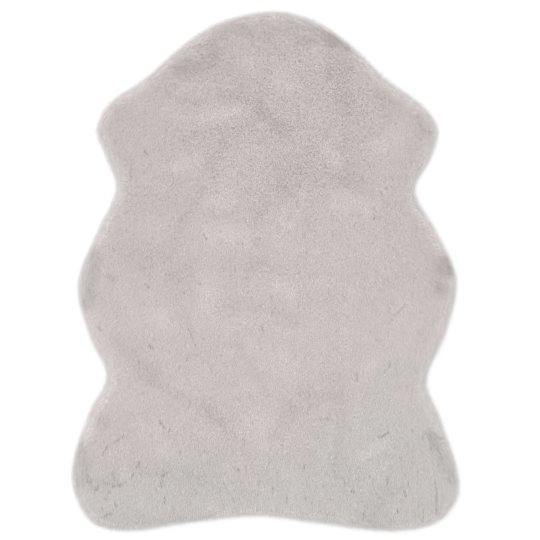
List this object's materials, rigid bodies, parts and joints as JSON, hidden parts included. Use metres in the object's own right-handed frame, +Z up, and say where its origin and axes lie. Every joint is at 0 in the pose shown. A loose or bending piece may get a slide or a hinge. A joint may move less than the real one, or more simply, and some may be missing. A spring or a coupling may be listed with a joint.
{
  "type": "faux fur rug",
  "caption": "Flat faux fur rug with a hide-like outline: a round crown, ears, drawn-in waists, full flanks and spread feet, in short dense brushed pile.",
  "frame": {"origin": "on the floor, under the middle of the rug's bounding box", "axes": "+Y from the hollow hem to the round crown, +Z up out of the pile, +X to the right when the crown is away from the viewer"},
  "size_m": [0.5957, 0.8, 0.0189],
  "materials": {
    "faux_fur": "matte rosy-grey faux fur, short dense pile, softly brushed, on a knitted ground"
  },
  "bodies": {
    "root": {"fur_panel": "faux_fur"}
  },
  "joints": []
}
